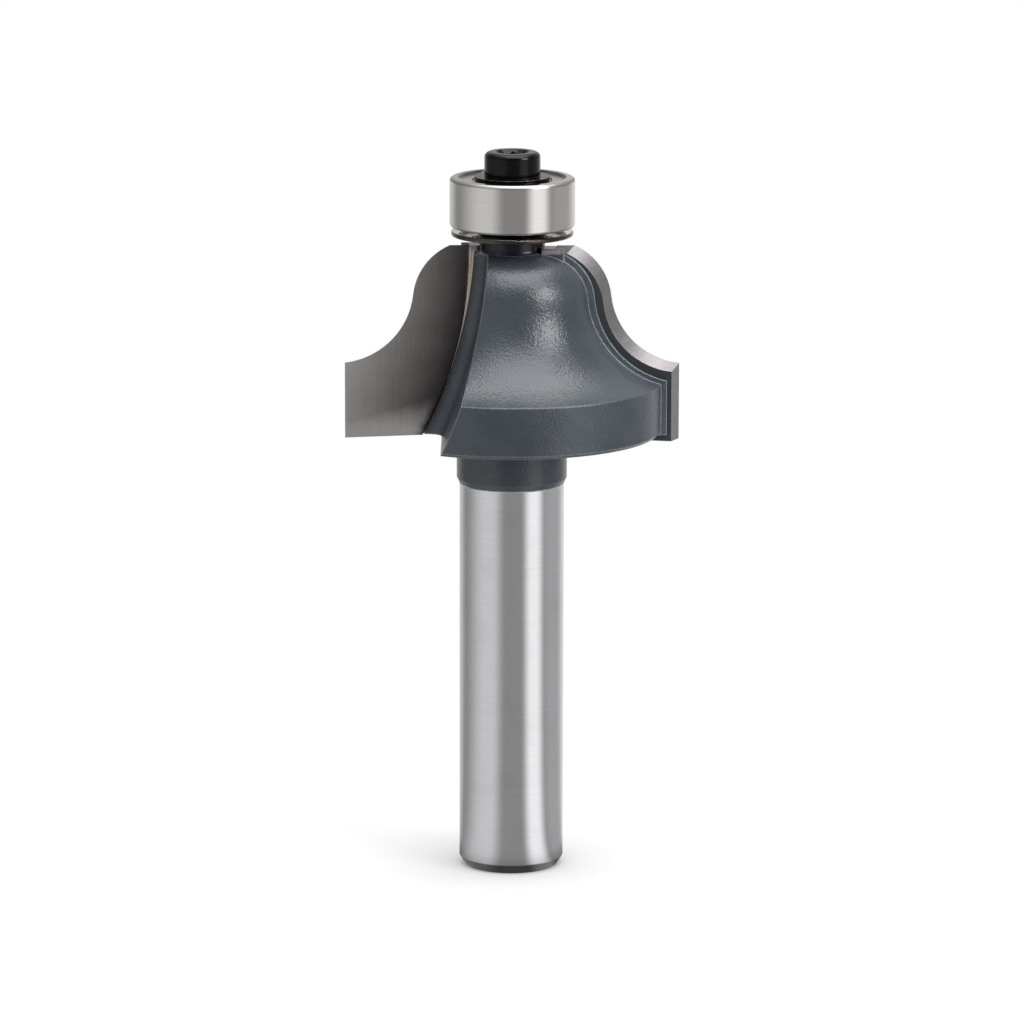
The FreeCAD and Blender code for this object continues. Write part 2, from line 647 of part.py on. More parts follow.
bearing_outer_ring, _ = turned("bearing_outer_ring", [
    ("Derived.outer_land", "Derived.outer_lip"),
    ("Derived.outer_land", "-Derived.outer_lip", "Derived.raceway_radius", "right"),
    ("Derived.outer_land", "-Derived.flange_back"),
    ("Derived.groove_radius", "-Derived.flange_back"),
    ("Derived.groove_radius", "-Derived.flange_face"),
    ("Derived.mouth_radius", "-Derived.flange_face"),
    ("Derived.mouth_radius", "-Derived.bearing_half"),
    ("Sizes.bearing_diameter / 2 - Sizes.bearing_corner_radius", "-Derived.bearing_half"),
    ("Sizes.bearing_diameter / 2", "Sizes.bearing_corner_radius - Derived.bearing_half",
     "Sizes.bearing_corner_radius", "left"),
    ("Sizes.bearing_diameter / 2", "Derived.bearing_half - Sizes.bearing_corner_radius"),
    ("Sizes.bearing_diameter / 2 - Sizes.bearing_corner_radius", "Derived.bearing_half",
     "Sizes.bearing_corner_radius", "left"),
    ("Derived.mouth_radius", "Derived.bearing_half"),
    ("Derived.mouth_radius", "Derived.flange_face"),
    ("Derived.groove_radius", "Derived.flange_face"),
    ("Derived.groove_radius", "Derived.flange_back"),
    ("Derived.outer_land", "Derived.flange_back"),
], "Derived.bearing_middle")
pieces += [bearing_inner_ring, bearing_outer_ring]


def shield(name, side):
    """A pressed shield whose flange is crimped into the outer ring."""
    sign = "" if side > 0 else "-"
    inside = "Derived.mouth_radius - Sizes.shield_thickness"
    corners = [
        ("Derived.shield_hole", f"{sign}(Derived.shield_face - Sizes.shield_thickness)"),
        (inside, f"{sign}(Derived.shield_face - Sizes.shield_thickness)"),
        (inside, f"{sign}Derived.flange_back"),
        ("Derived.groove_radius", f"{sign}Derived.flange_back"),
        ("Derived.groove_radius", f"{sign}Derived.flange_face"),
        ("Derived.mouth_radius", f"{sign}Derived.flange_face"),
        ("Derived.mouth_radius", f"{sign}Derived.shield_face"),
        ("Derived.shield_hole", f"{sign}Derived.shield_face"),
    ]
    body, _ = turned(name, corners, "Derived.bearing_middle")
    return body


pieces += [shield("upper_shield", 1), shield("lower_shield", -1)]

# Crown cage, open upward, with a pocket for each ball.
derive("cage_inside", "pitch_radius - Sizes.cage_wall / 2")
derive("cage_outside", "pitch_radius + Sizes.cage_wall / 2")
derive("pocket_radius", "ball_radius + Sizes.pocket_clearance")
doc.recompute()
ball_cage, cage_profile = turned("ball_cage", [
    ("Derived.cage_inside", "-Sizes.cage_below"),
    ("Derived.cage_outside", "-Sizes.cage_below"),
    ("Derived.cage_outside", "Sizes.cage_above"),
    ("Derived.cage_inside", "Sizes.cage_above"),
], "Derived.bearing_middle")
pocket_sketch = sketch_in(ball_cage, "XZ_Plane")
pocket_circle = Part.Circle(FreeCAD.Vector(0, 0, 0), FreeCAD.Vector(0, 0, 1), derived.pocket_radius)
pocket_geometry = pocket_sketch.addGeometry(pocket_circle, False)
pocket_sketch.addConstraint(Sketcher.Constraint("Coincident", pocket_geometry, 3, -1, 1))
pocket_size = pocket_sketch.addConstraint(
    Sketcher.Constraint("Radius", pocket_geometry, derived.pocket_radius)
)
pocket_sketch.setExpression(f"Constraints[{pocket_size}]", "Derived.pocket_radius")
cage_blank = ball_cage.Tip
ball_pocket = ball_cage.newObject("PartDesign::Pocket", "ball_pocket")
ball_pocket.Profile = pocket_sketch
ball_pocket.Type = "ThroughAll"
doc.recompute()
removed(cage_blank, ball_pocket)
repeat(ball_cage, cage_profile, [ball_pocket], BALL_COUNT, "ball_pockets")
pieces.append(ball_cage)

for index in range(BALL_COUNT):
    ball = doc.addObject("Part::Sphere", f"ball_{index + 1}")
    ball.setExpression("Radius", "Derived.ball_radius")
    turn = f"{360 * index / BALL_COUNT} deg"
    ball.setExpression("Placement.Base.x", f"Derived.pitch_radius * cos({turn})")
    ball.setExpression("Placement.Base.y", f"Derived.pitch_radius * sin({turn})")
    ball.setExpression("Placement.Base.z", "Derived.bearing_middle")
    pieces.append(ball)
doc.recompute()

# Socket head cap screw that clamps the bearing's inner ring.
derive("head_radius", "Sizes.head_diameter / 2")
derive("screw_radius", "Sizes.screw_diameter / 2")
derive("socket_mouth", "Sizes.head_height - Sizes.socket_mouth_depth")
doc.recompute()
cap_screw, _ = turned("cap_screw", [
    ("0", "-Sizes.screw_length"),
    ("Derived.screw_radius - Sizes.screw_tip_chamfer", "-Sizes.screw_length"),
    ("Derived.screw_radius", "Sizes.screw_tip_chamfer - Sizes.screw_length"),
    ("Derived.screw_radius", "0"),
    ("Derived.head_radius", "0"),
    ("Derived.head_radius", "Sizes.head_height - Sizes.head_edge_radius"),
    (
        "Derived.head_radius - Sizes.head_edge_radius", "Sizes.head_height",
        "Sizes.head_edge_radius", "left",
    ),
    ("Sizes.socket_mouth_diameter / 2", "Sizes.head_height"),
    ("Sizes.socket_width / 2", "Derived.socket_mouth"),
    ("0", "Derived.socket_mouth"),
], "Derived.head_seat")
screw_blank = cap_screw.Tip
socket_sketch = sketch_in(cap_screw, "XY_Plane")
socket_sketch.setExpression("AttachmentOffset.Base.z", "Sizes.head_height")
doc.recompute()
HALF_FLATS = "Sizes.socket_width / 2"
HALF_SIDE = "Sizes.socket_width / 2 * tan(30 deg)"
CORNER = "Sizes.socket_width / 2 / cos(30 deg)"
outline(socket_sketch, [
    (HALF_FLATS, f"-({HALF_SIDE})"),
    (HALF_FLATS, HALF_SIDE),
    ("0", CORNER),
    (f"-({HALF_FLATS})", HALF_SIDE),
    (f"-({HALF_FLATS})", f"-({HALF_SIDE})"),
    ("0", f"-({CORNER})"),
])
hexagon = cap_screw.newObject("PartDesign::Pocket", "hexagon")
hexagon.Profile = socket_sketch
hexagon.setExpression("Length", "Sizes.socket_depth")
doc.recompute()
removed(screw_blank, hexagon)
pieces.append(cap_screw)

# Every feature has to be sound before anything is written.
doc.recompute()
for item in doc.Objects:
    if "Invalid" in item.State or "Error" in item.State:
        raise RuntimeError(f"{item.Name} is {item.State}")
os.makedirs("parts", exist_ok=True)
for piece in pieces:
    piece.Label = piece.Name
    shape = piece.Shape
    if shape.isNull() or not shape.isValid() or len(shape.Solids) != 1:
        raise RuntimeError(f"{piece.Label} has no valid single solid")
for piece in pieces:
    piece.Shape.exportStep(f"parts/{piece.Label}.step")
    print(f"{piece.Label}: {piece.Shape.Volume:.3f} mm3")
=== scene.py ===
"""Studio picture of an ogee router bit with a guide bearing, standing on its shank.

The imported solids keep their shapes. This script gives them their coatings and
ground, lapped and blackened metals, adds the beads that close the ends of the
braze seams, and sets the floor, the lights and the camera.
Lengths are written in millimetres and turned into metres where they are used.
"""
import math

import bmesh
import bpy
from mathutils import Matrix, Vector


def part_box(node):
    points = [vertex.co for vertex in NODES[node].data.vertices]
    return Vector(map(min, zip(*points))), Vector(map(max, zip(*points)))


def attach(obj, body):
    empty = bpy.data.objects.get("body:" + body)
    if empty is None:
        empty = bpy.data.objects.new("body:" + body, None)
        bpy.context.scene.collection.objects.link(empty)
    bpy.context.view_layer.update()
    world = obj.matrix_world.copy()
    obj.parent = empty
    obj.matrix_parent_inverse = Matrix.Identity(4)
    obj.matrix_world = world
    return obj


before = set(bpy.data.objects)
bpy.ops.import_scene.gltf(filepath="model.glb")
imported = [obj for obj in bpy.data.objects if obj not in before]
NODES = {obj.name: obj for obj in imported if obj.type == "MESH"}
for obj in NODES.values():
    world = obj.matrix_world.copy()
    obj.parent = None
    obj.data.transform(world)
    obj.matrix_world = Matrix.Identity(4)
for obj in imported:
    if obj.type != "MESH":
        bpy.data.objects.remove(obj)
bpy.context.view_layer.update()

MM = 0.001
Y_AXIS = 1
Z_AXIS = 2
LOWEST = 0
HIGHEST = 1


def level(node, end):
    """Lowest or highest level of a solid, in millimetres."""
    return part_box(node)[end].z / MM


# Levels, radii and circles of the solids that the finishes follow. The circles
# stand upright: one is the braze seam, one the wall beside the ground face.
HEAD_FOOT = level("solder_layer_1", LOWEST)
SOLDER_TOP = level("solder_layer_1", HIGHEST)
RING_TOP = level("bearing_outer_ring", HIGHEST)
SHANK_TOP = 30.04
SHANK_CHAMFER = 0.7
RIM_TOP = 37.97
NECK_FOOT = 48.05
NECK_RADIUS = 2.5
ROOT_REACH = 3.95
SEAM_CENTRE = (33.09, 47.9)
SEAM_RADIUS = 29.72
WALL_CENTRE = (38.0, 50.01)
WALL_RADIUS = 35.16

# Ranges that most values of a noise fall in.
NOISE_RANGE = (0.3, 0.7)
LINE_RANGE = (0.25, 0.75)

# Rays sent for a rounded edge, a tight corner and a spot of the floor.
BEVEL_SAMPLES = 6
CORNER_SAMPLES = 6
FLOOR_SAMPLES = 12


class Graph:
    """A short way to write a tree of shader nodes."""

    def __init__(self, tree):
        self.tree = tree

    def feed(self, socket, value):
        """Join or set one input."""
        if isinstance(value, bpy.types.NodeSocket):
            self.tree.links.new(value, socket)
        else:
            socket.default_value = value

    def add(self, kind, inputs=None, out=0, **settings):
        """Add a node and return one of its outputs."""
        made = self.tree.nodes.new("ShaderNode" + kind)
        for name, value in settings.items():
            setattr(made, name, value)
        for name, value in (inputs or {}).items():
            self.feed(made.inputs[name], value)
        return made.outputs[out]

    def calc(self, operation, *values, clamp=False):
        """One step of arithmetic."""
        return self.add("Math", dict(enumerate(values)), operation=operation, use_clamp=clamp)

    def times(self, first, *others):
        """Product of two or more values."""
        for other in others:
            first = self.calc("MULTIPLY", first, other)
        return first

    def invert(self, mask):
        """1 where a mask is 0, and 0 where it is 1."""
        return self.calc("SUBTRACT", 1.0, mask)

    def measure(self, operation, *vectors):
        """A length or a product of vectors, as one value."""
        return self.add("VectorMath", dict(enumerate(vectors)), out="Value", operation=operation)

    def parts(self, vector):
        """The three components of a vector."""
        return self.add("SeparateXYZ", {0: vector}).node.outputs

    def rise(self, value, low, high, start=0.0, end=1.0):
        """Smooth step from start to end while value goes from low to high."""
        inputs = {"Value": value, "From Min": low, "From Max": high, "To Min": start, "To Max": end}
        return self.add("MapRange", inputs, interpolation_type="SMOOTHSTEP")

    def fall(self, value, low, high, start=1.0, end=0.0):
        """Smooth step down from start to end while value goes from low to high."""
        return self.rise(value, low, high, start, end)

    def between(self, value, low, high, soft):
        """1 inside a band and 0 outside it, with soft sides."""
        into = self.rise(value, low - soft, low + soft)
        out_of = self.rise(value, high - soft, high + soft)
        return self.calc("SUBTRACT", into, out_of)

    def mix(self, factor, first, second, data_type="FLOAT"):
        """Value, vector or colour between two others."""
        inputs = {"Factor": factor, "A": first, "B": second}
        return self.add("Mix", inputs, out="Result", data_type=data_type)

    def blend(self, factor, first, second):
        """Colour between two colours."""
        return self.mix(factor, first, second, data_type="RGBA")

    def tint(self, base, colour, mask, strength):
        """Lay a colour over another, as far as the mask times the strength says."""
        return self.blend(self.times(mask, strength), base, colour)

    def noise(self, vector, scale, detail=2.0, roughness=0.5):
        """Value of a noise texture."""
        inputs = {"Vector": vector, "Scale": scale, "Detail": detail, "Roughness": roughness}
        return self.add("TexNoise", inputs)


class Finish(Graph):
    """A metal with one principled shader, worked out from places on the object."""

    def __init__(self, name, **constants):
        self.material = bpy.data.materials.new(name)
        self.material.use_nodes = True
        super().__init__(self.material.node_tree)
        self.shader = self.tree.nodes["Principled BSDF"]
        self.shader.inputs["Metallic"].default_value = 1.0
        for socket, value in constants.items():
            self.shader.inputs[socket.replace("_", " ")].default_value = value
        metres = self.add("TexCoord", out="Object")
        self.place = self.add("VectorMath", {0: metres, "Scale": 1 / MM}, operation="SCALE")
        self.x, self.y, self.z = self.parts(self.place)
        squares = self.calc("ADD", self.times(self.x, self.x), self.times(self.y, self.y))
        self.radius = self.calc("SQRT", squares)

    def set(self, socket, value):
        """Join or set one input of the shader."""
        self.feed(self.shader.inputs[socket], value)

    def streaks(self, x, y, z, detail=2.0, roughness=0.5):
        """Noise with a scale of its own along each axis."""
        stretched = self.add("VectorMath", {0: self.place, 1: (x, y, z)}, operation="MULTIPLY")
        return self.noise(stretched, 1.0, detail, roughness)

    def edges(self, width, low=0.02, high=0.14):
        """1 on sharp edges and 0 away from them."""
        bevel = self.add("Bevel", {"Radius": width * MM}, samples=BEVEL_SAMPLES)
        plain = self.add("NewGeometry", out="Normal")
        turn = self.measure("DOT_PRODUCT", bevel, plain)
        return self.rise(self.invert(turn), low, high)

    def hollows(self, reach, low=0.35, high=0.8):
        """1 in tight corners and 0 in the open; it places painted shade."""
        inputs = {"Distance": reach * MM}
        open_share = self.add("AmbientOcclusion", inputs, out="AO", samples=CORNER_SAMPLES)
        return self.fall(open_share, low, high)

    def from_circle(self, centre):
        """Distance from a circle's centre beside the bit, for either flute."""
        across = self.calc("SUBTRACT", self.calc("ABSOLUTE", self.x), centre[0])
        along = self.calc("SUBTRACT", self.z, centre[1])
        return self.measure("LENGTH", self.add("CombineXYZ", {0: across, 1: along}))

    def facing(self, axis):
        """How far the surface faces one axis, to either side."""
        normal = self.add("NewGeometry", out="Normal")
        return self.calc("ABSOLUTE", self.parts(normal)[axis])

    def relief(self, height, strength, distance, rounding=None):
        """Bump the surface, over edges rounded to a radius that is given in metres."""
        inputs = {"Height": height, "Strength": strength, "Distance": distance * MM}
        if rounding is not None:
            inputs["Normal"] = self.add("Bevel", {"Radius": rounding}, samples=BEVEL_SAMPLES)
        self.set("Normal", self.add("Bump", inputs))

    def turned(self):
        """Stretch the highlights as lines that run round the axis do."""
        self.set("Tangent", self.add("Tangent", direction_type="RADIAL", axis="Z"))

    def give(self, *names):
        """Put this finish on solids."""
        for name in names:
            NODES[name].material_slots[0].material = self.material


def rgb(red, green, blue):
    """Linear colour of a colour written in 0 to 255 screen values."""
    linear = []
    for part in (red, green, blue):
        part = part / 255
        linear.append(part / 12.92 if part <= 0.04045 else ((part + 0.055) / 1.055) ** 2.4)
    return (*linear, 1.0)


# Colours. A pair holds the two ends between which a surface varies.
WHITE = (1, 1, 1, 1)
COATING = (rgb(49, 55, 61), rgb(56, 62, 69))
COATING_SPECK = rgb(72, 78, 84)
COATING_CORNER_SHADE = rgb(20, 23, 27)
COATING_WORN_AND_HIGHLIGHT = rgb(150, 156, 162)
COATING_WALL_SHADE = rgb(10, 9, 10)
STEEL = (rgb(204, 203, 205), rgb(210, 209, 211))
STEEL_STAIN = rgb(172, 168, 166)
STEEL_END_SHADE = rgb(92, 91, 92)
BRAZE_STAIN = (rgb(168, 158, 142), rgb(196, 188, 174))
NECK_HEAT_AND_DARK_REFLECTION = (rgb(38, 38, 43), rgb(58, 57, 63))
HEATED_ROOT = rgb(172, 167, 174)
CARBIDE = (rgb(153, 149, 151), rgb(162, 158, 160))
CARBIDE_FACE_LIT = rgb(202, 199, 196)
CARBIDE_FACE_SHADE = rgb(66, 63, 63)
CARBIDE_LINE = rgb(40, 38, 40)
CARBIDE_COATED = rgb(36, 41, 44)
CARBIDE_EDGE_HIGHLIGHT = rgb(190, 188, 186)
SILVER_SOLDER = (rgb(88, 80, 70), rgb(138, 130, 114))
SOLDER_LOWER_TONE = rgb(26, 24, 23)
RING = (rgb(198, 196, 193), rgb(204, 202, 200))
RING_CHAMFER_SHADE = rgb(160, 157, 152)
RING_MOUTH_SHADE = rgb(52, 48, 46)
WASHER_RIM_TONE_AND_SHADE = (rgb(70, 65, 61), rgb(82, 77, 72))
WASHER_FACE_SHEEN = rgb(246, 245, 244)
SHIELD = (rgb(188, 182, 166), rgb(206, 202, 188))
BALL = (rgb(190, 190, 190), rgb(206, 206, 206))
CAGE = (rgb(150, 144, 126), rgb(176, 172, 160))
BLACK = (rgb(2, 2, 2), rgb(6, 5, 6))
BLACK_RUBBED_AND_HIGHLIGHT = rgb(132, 122, 122)


# Materials.
def circular_lines(finish, fine=30.0, coarse=6.0):
    """Grinding lines that run round the bit's axis."""
    fine_lines = finish.times(finish.streaks(0.12, 0.12, fine, detail=3.0, roughness=0.6), 0.7)
    coarse_lines = finish.times(finish.streaks(0.05, 0.05, coarse), 0.3)
    return finish.calc("ADD", fine_lines, coarse_lines)


def body_masks(finish):
    """Where the body is coated, its bare neck, and the bare strip by each face.

    The coating stops in a soft line at the cone's foot. The neck, the land's
    root beside it and the strip in the plane of each cutting face are bare.
    """
    wander = finish.calc("SUBTRACT", finish.streaks(0.9, 0.9, 0.9, detail=3.0), 0.5)
    edge = finish.calc("MULTIPLY_ADD", wander, 0.10, finish.z)
    coated = finish.rise(edge, SHANK_TOP - 0.02, SHANK_TOP + 0.10)
    above = finish.rise(edge, NECK_FOOT - 0.08, NECK_FOOT + 0.02)
    neck = finish.times(above, finish.fall(finish.radius, ROOT_REACH, ROOT_REACH + 0.3))
    near_plane = finish.fall(finish.calc("ABSOLUTE", finish.y), 0.02, 0.05)
    upright = finish.rise(finish.facing(Y_AXIS), 0.7, 0.9)
    on_head = finish.rise(finish.z, HEAD_FOOT - 0.1, HEAD_FOOT)
    beside_neck = finish.rise(finish.radius, NECK_RADIUS + 0.25, NECK_RADIUS + 0.45)
    strip = finish.times(near_plane, upright, on_head, beside_neck)
    bare = finish.calc("MAXIMUM", neck, strip)
    return finish.times(coated, finish.invert(bare)), neck, strip


def coating_tone(finish, cloud):
    """Blue-grey, a little cloudy, thin on sharp edges and lighter there as a painted highlight, with
    painted shade in corners and along the ground wall.
    """
    speck = finish.rise(finish.noise(finish.place, 9.0), 0.62, 0.8, end=0.3)
    tone = finish.blend(finish.rise(cloud, *NOISE_RANGE), *COATING)
    tone = finish.blend(speck, tone, COATING_SPECK)
    # Painted shade: the coating is darkened in tight corners, where shade falls.
    tone = finish.tint(tone, COATING_CORNER_SHADE, finish.hollows(reach=0.4), strength=0.6)
    # The light line on sharp edges is partly worn coating and partly a painted highlight.
    patchy = finish.rise(finish.noise(finish.place, 2.5, detail=3.0), 0.0, 0.5)
    worn_and_highlit = finish.times(finish.edges(width=0.16, low=0.015, high=0.12), patchy)
    tone = finish.tint(tone, COATING_WORN_AND_HIGHLIGHT, worn_and_highlit, strength=0.8)
    # Painted shade: a dark line along the corner where the gullet floor meets the wall of the ground
    # face.
    from_wall = finish.calc("SUBTRACT", finish.from_circle(WALL_CENTRE), WALL_RADIUS)
    by_wall = finish.between(from_wall, low=-0.20, high=0.09, soft=0.04)
    in_flute = finish.rise(finish.times(finish.x, finish.y), 0.0, 0.3)
    on_head = finish.rise(finish.z, HEAD_FOOT, HEAD_FOOT + 0.2)
    wall_shade = finish.times(by_wall, finish.times(in_flute, on_head))
    return finish.tint(tone, COATING_WALL_SHADE, wall_shade, strength=0.9)


def steel_tone(finish, lines, neck, strip, root):
    """Bare steel with faint grinding lines and stains, heat tones at the neck that also hold a
    painted dark reflection, and a painted dark reflection on the end chamfer.
    """
    tone = finish.blend(finish.rise(lines, *NOISE_RANGE), *STEEL)
    stain = finish.noise(finish.place, 0.28, detail=4.0, roughness=0.6)
    tone = finish.blend(finish.rise(stain, 0.45, 0.75, end=0.16), tone, STEEL_STAIN)
    tone = finish.blend(strip, tone, finish.blend(finish.noise(finish.place, 3.0), *BRAZE_STAIN))
    # The neck's tone is partly heat tint and partly a painted dark reflection of the coated head
    # below it.
    neck_heat_and_reflection = finish.blend(finish.noise(finish.place, 1.2), *NECK_HEAT_AND_DARK_REFLECTION)
    neck_heat_and_reflection = finish.blend(root, neck_heat_and_reflection, HEATED_ROOT)
    tone = finish.blend(neck, tone, neck_heat_and_reflection)
    # Painted dark reflection: the end chamfer is darkened where it mirrors the shaded floor under the
    # bit.
    end = finish.fall(finish.z, SHANK_CHAMFER - 0.05, SHANK_CHAMFER + 0.03)
    return finish.tint(tone, STEEL_END_SHADE, end, strength=0.75)


def coated_body():
    """Head and collar with a baked coating, on a bare ground shank."""
    finish = Finish("coated_head_and_ground_shank", Anisotropic=0.4, Anisotropic_Rotation=0.25)
    coated, neck, strip = body_masks(finish)
    root = finish.rise(finish.radius, NECK_RADIUS + 0.12, NECK_RADIUS + 0.3)
    cloud = finish.noise(finish.place, 0.35, detail=3.0)
    lines = circular_lines(finish)
    steel = steel_tone(finish, lines, neck, strip, root)
    finish.set("Base Color", finish.blend(coated, steel, coating_tone(finish, cloud)))
    finish.set("Metallic", finish.invert(coated))

    coating_rough = finish.rise(cloud, 0.2, 0.8, start=0.24, end=0.31)
    steel_rough = finish.rise(lines, *LINE_RANGE, start=0.16, end=0.20)
    steel_rough = finish.mix(finish.times(neck, root), steel_rough, 0.5)
    finish.set("Roughness", finish.mix(coated, steel_rough, coating_rough))
    finish.turned()

    # The coating flowed out like orange peel, the steel only shows its lines.
    ripple = finish.noise(finish.place, 1.6, detail=1.0)
    peel = finish.calc("MULTIPLY_ADD", ripple, 0.5, finish.noise(finish.place, 5.6))
    height = finish.mix(coated, finish.times(lines, 0.0003), finish.times(peel, 0.036))
    rounding = finish.rise(finish.z, RIM_TOP + 0.2, RIM_TOP + 1.2, start=0.10, end=0.24)
    finish.relief(height, strength=1.0, distance=1.0, rounding=finish.times(rounding, MM))
    return finish


def carbide():
    """Ground tungsten carbide, coated on its back, with painted shade beside the braze."""
    finish = Finish("ground_carbide", Anisotropic=0.8, Anisotropic_Rotation=0.25)
    flat = finish.rise(finish.facing(Y_AXIS), 0.75, 0.9)
    depth = finish.calc("ABSOLUTE", finish.y)
    on_face = finish.times(flat, finish.fall(depth, 0.1, 0.3))
    on_back = finish.times(flat, finish.rise(depth, 0.9, 1.1))
    upright = finish.streaks(11.0, 1.0, 0.18, detail=3.0, roughness=0.6)
    across = finish.streaks(2.0, 0.8, 7.0)
    lines = finish.mix(on_face, across, upright)
    tone = finish.blend(finish.rise(lines, *NOISE_RANGE), *CARBIDE)

    # Painted shade darkens the face towards its braze seam, which is a part of a circle, where the
    # body hides the light from it. Its lowest strip stays light, clear of that painted shade.
    blot = finish.calc("SUBTRACT", finish.noise(finish.place, 0.7, detail=3.0), 0.5)
    from_seam = finish.calc("SUBTRACT", SEAM_RADIUS, finish.from_circle(SEAM_CENTRE))
    from_seam = finish.calc("MULTIPLY_ADD", blot, 0.9, from_seam)
    face_lit = finish.calc("DIVIDE", from_seam, 7.5, clamp=True)
    low = finish.fall(finish.calc("MULTIPLY_ADD", blot, 0.8, finish.z), 34.1, 37.2, start=0.85)
    face_lit = finish.calc("MAXIMUM", face_lit, finish.times(low, finish.rise(from_seam, -0.1, 0.6)))
    face = finish.blend(face_lit, CARBIDE_FACE_SHADE, CARBIDE_FACE_LIT)
    face = finish.blend(finish.rise(lines, 0.35, 0.65, end=0.12), face, CARBIDE_LINE)
    tone = finish.blend(on_face, tone, face)
    tone = finish.blend(on_back, tone, CARBIDE_COATED)
    # Painted highlight: a lighter line on the sharp edges.
    tone = finish.tint(tone, CARBIDE_EDGE_HIGHLIGHT, finish.edges(width=0.05), strength=0.35)
    finish.set("Base Color", tone)
    finish.set("Metallic", finish.invert(on_back))
    finish.set("Roughness", finish.rise(lines, *LINE_RANGE, start=0.36, end=0.42))
    tangent = finish.mix(on_face, (0.0, 1.0, 0.0), (0.0, 0.0, 1.0), data_type="VECTOR")
    finish.set("Tangent", tangent)
    finish.relief(lines, strength=0.25, distance=0.002, rounding=0.03 * MM)
    return finish


def solder():
    """Silver solder, dull and a little yellow, darker down the lower seam."""
    finish = Finish("silver_solder")
    blot = finish.noise(finish.place, 4.0, detail=3.0)
    tone = finish.blend(finish.rise(blot, *NOISE_RANGE), *SILVER_SOLDER)
    low = finish.fall(finish.z, 43.0, 46.0)
    finish.set("Base Color", finish.tint(tone, SOLDER_LOWER_TONE, low, strength=0.9))
    finish.set("Roughness", finish.rise(blot, *NOISE_RANGE, start=0.35, end=0.55))
    finish.relief(blot, strength=0.4, distance=0.02)
    return finish


def bearing_steel():
    """Ground rings with faint lines round them, rougher chamfers darkened by painted shade, and
    painted shade in the mouth.
    """
    finish = Finish("bearing_steel", Anisotropic=0.35, Anisotropic_Rotation=0.25)
    lines = circular_lines(finish, fine=34.0, coarse=8.0)
    tone = finish.blend(finish.rise(lines, *NOISE_RANGE), *RING)
    chamfer = finish.between(finish.facing(Z_AXIS), low=0.3, high=0.88, soft=0.1)
    # Painted shade: the chamfers are darkened so that they mirror the top light less.
    tone = finish.blend(chamfer, tone, RING_CHAMFER_SHADE)
    # Painted shade in the bearing's mouth, below its top.
    by_top = finish.rise(finish.z, RING_TOP - 0.6, RING_TOP - 0.5)
    mouth_shade = finish.times(finish.hollows(reach=1.0), by_top)
    finish.set("Base Color", finish.tint(tone, RING_MOUTH_SHADE, mouth_shade, strength=0.85))
    lapped = finish.fall(finish.facing(Z_AXIS), 0.9, 0.99, end=0.35)
    rough = finish.times(finish.rise(lines, *LINE_RANGE, start=0.12, end=0.16), lapped)
    finish.set("Roughness", finish.calc("MAXIMUM", rough, finish.times(chamfer, 0.45)))
    finish.turned()
    finish.relief(lines, strength=0.3, distance=0.0003)
    return finish


def polished_washer_painted_light():
    """Polished washer: its dark rim is darkened further with painted shade under the bearing's
    overhang, and its flat faces are painted bright, a painted sheen.
    """
    finish = Finish("dark_polished_washer_painted_light")
    rings = finish.noise(finish.add("CombineXYZ", {0: finish.radius, 1: finish.z}), 9.0)
    # The rim's tone is partly the washer's own dark colour and partly painted shade.
    tone = finish.blend(finish.rise(rings, *NOISE_RANGE), *WASHER_RIM_TONE_AND_SHADE)
    flat = finish.rise(finish.facing(Z_AXIS), 0.8, 0.95)
    # Painted sheen: the flat faces are brighter than the rim, so the gap under the bearing shows
    # light.
    finish.set("Base Color", finish.blend(flat, tone, WASHER_FACE_SHEEN))
    finish.set("Roughness", finish.rise(rings, *NOISE_RANGE, start=0.04, end=0.06))
    finish.relief(rings, strength=0.2, distance=0.0001, rounding=0.02 * MM)
    return finish


def shield_sheet():
    """Bright pressed sheet with faint rings from the press."""
    finish = Finish("pressed_shield_sheet")
    rings = finish.noise(finish.add("CombineXYZ", {0: finish.radius}), 12.0)
    finish.set("Base Color", finish.blend(finish.rise(rings, *NOISE_RANGE), *SHIELD))
    finish.set("Roughness", finish.rise(rings, *NOISE_RANGE, start=0.20, end=0.30))
    finish.relief(rings, strength=0.4, distance=0.002)
    return finish


def ball_steel():
    """Lapped balls with a faint haze."""
    finish = Finish("lapped_ball_steel")
    haze = finish.noise(finish.place, 2.0)
    finish.set("Base Color", finish.blend(haze, *BALL))
    finish.set("Roughness", finish.rise(haze, *NOISE_RANGE, start=0.04, end=0.08))
    return finish


def cage_steel():
    """Pressed cage, stained by oil."""
    finish = Finish("oiled_cage_steel")
    stain = finish.noise(finish.place, 2.4, detail=3.0)
    finish.set("Base Color", finish.blend(stain, *CAGE))
    finish.set("Roughness", finish.rise(stain, *NOISE_RANGE, start=0.25, end=0.4))
    finish.relief(stain, strength=0.3, distance=0.01)
    return finish


def black_oxide():
    """Blackened steel, paler on its edges, which are partly rubbed and partly a painted highlight."""
    finish = Finish("black_oxide_steel", Specular_IOR_Level=0.2)
    grain = finish.noise(finish.place, 14.0, detail=3.0, roughness=0.6)
    tone = finish.blend(finish.rise(grain, 0.35, 0.7), *BLACK)
    # The pale edges are partly rubbed and partly a painted highlight.
    patchy = finish.rise(finish.noise(finish.place, 5.0), 0.2, 0.7)
    rubbed_and_highlit = finish.times(finish.edges(width=0.06), patchy, 0.9)
    finish.set("Base Color", finish.blend(rubbed_and_highlit, tone, BLACK_RUBBED_AND_HIGHLIGHT))
    finish.set("Metallic", finish.times(rubbed_and_highlit, 0.7))
    finish.set("Roughness", finish.rise(grain, *NOISE_RANGE, start=0.10, end=0.17))
    finish.relief(grain, strength=0.2, distance=0.002, rounding=0.05 * MM)
    return finish


BALLS = [name for name in NODES if name.startswith("ball_") and name != "ball_cage"]

